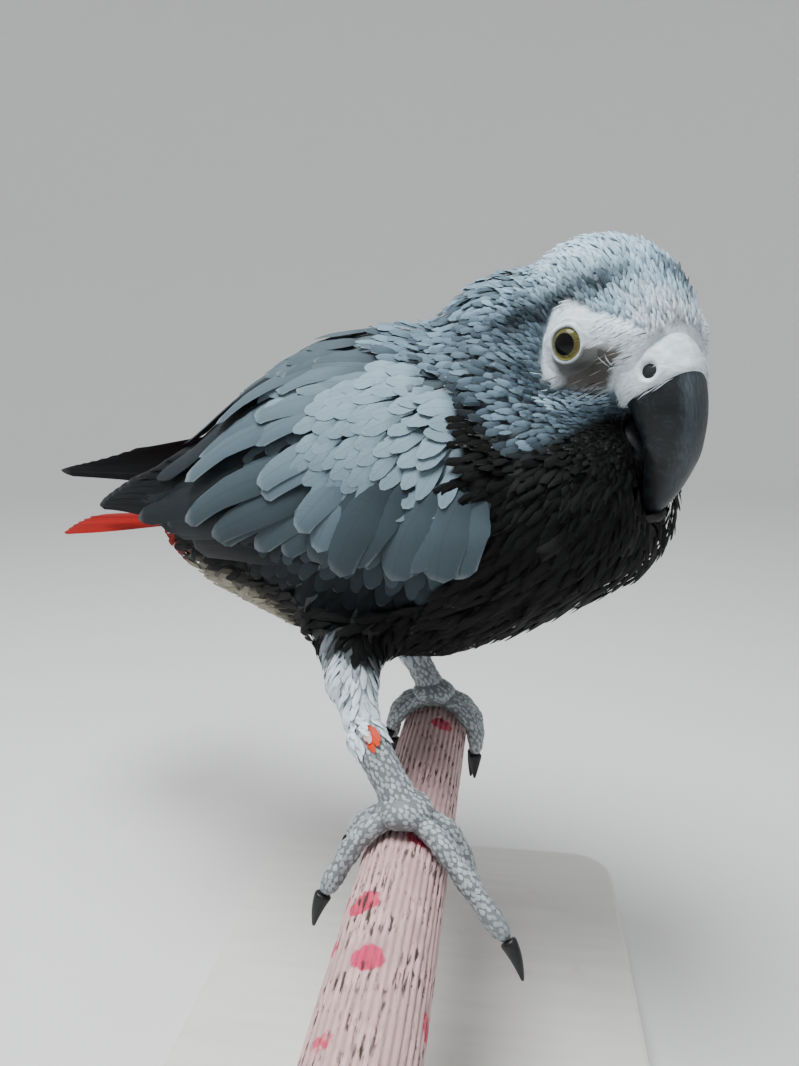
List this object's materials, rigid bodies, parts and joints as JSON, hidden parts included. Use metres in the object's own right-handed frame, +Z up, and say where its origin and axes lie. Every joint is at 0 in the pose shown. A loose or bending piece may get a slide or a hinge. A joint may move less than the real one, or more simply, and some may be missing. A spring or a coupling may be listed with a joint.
{
  "type": "parrot figure",
  "caption": "Life-size still model of a grey parrot gripping a short painted perch, head turned, on a flat display base with rods.",
  "frame": {"origin": "centre of the underside of the display base", "axes": "+Z up; the perch runs along Y with its near end at -Y; the bird's body faces +X turned about 28 degrees towards -Y"},
  "size_m": [0.2439, 0.2356, 0.2295],
  "materials": {
    "grey_plumage": "soft grey feathers with paler edges",
    "flight_feathers": "dark charcoal flight feathers",
    "tail_red": "bright red tail feathers",
    "thigh_plumage": "pale downy feathers",
    "horn": "satin black horn with lengthwise grain",
    "foot_skin": "grey scaled skin",
    "cere_skin": "bare off-white skin",
    "eye": "glossy eye with a pale iris and black pupil",
    "painted_wood": "worn pink paint with chewed lengthwise grooves",
    "stand_paint": "satin off-white paint",
    "rod_steel": "brushed"
  },
  "bodies": {
    "root": {"bill_lower": "horn", "bill_upper": "horn", "cere": "cere_skin", "claw_left_1": "horn", "claw_left_2": "horn", "claw_left_3": "horn", "claw_left_4": "horn", "claw_right_1": "horn", "claw_right_2": "horn", "claw_right_3": "horn", "claw_right_4": "horn", "eye_left": "eye", "eye_right": "eye", "head": "grey_plumage", "neck": "grey_plumage", "perch": "painted_wood", "rump": "grey_plumage", "stand_base": "stand_paint", "stand_rod_far": "rod_steel", "stand_rod_near": "rod_steel", "tail": "tail_red", "tarsus_left": "foot_skin", "tarsus_right": "foot_skin", "thigh_left": "thigh_plumage", "thigh_right": "thigh_plumage", "toe_left_1": "foot_skin", "toe_left_2": "foot_skin", "toe_left_3": "foot_skin", "toe_left_4": "foot_skin", "toe_right_1": "foot_skin", "toe_right_2": "foot_skin", "toe_right_3": "foot_skin", "toe_right_4": "foot_skin", "trunk": "grey_plumage", "wing_left_coverts": "grey_plumage", "wing_left_primaries": "flight_feathers", "wing_left_secondaries": "grey_plumage", "wing_right_coverts": "grey_plumage", "wing_right_primaries": "flight_feathers", "wing_right_secondaries": "grey_plumage"}
  },
  "joints": []
}
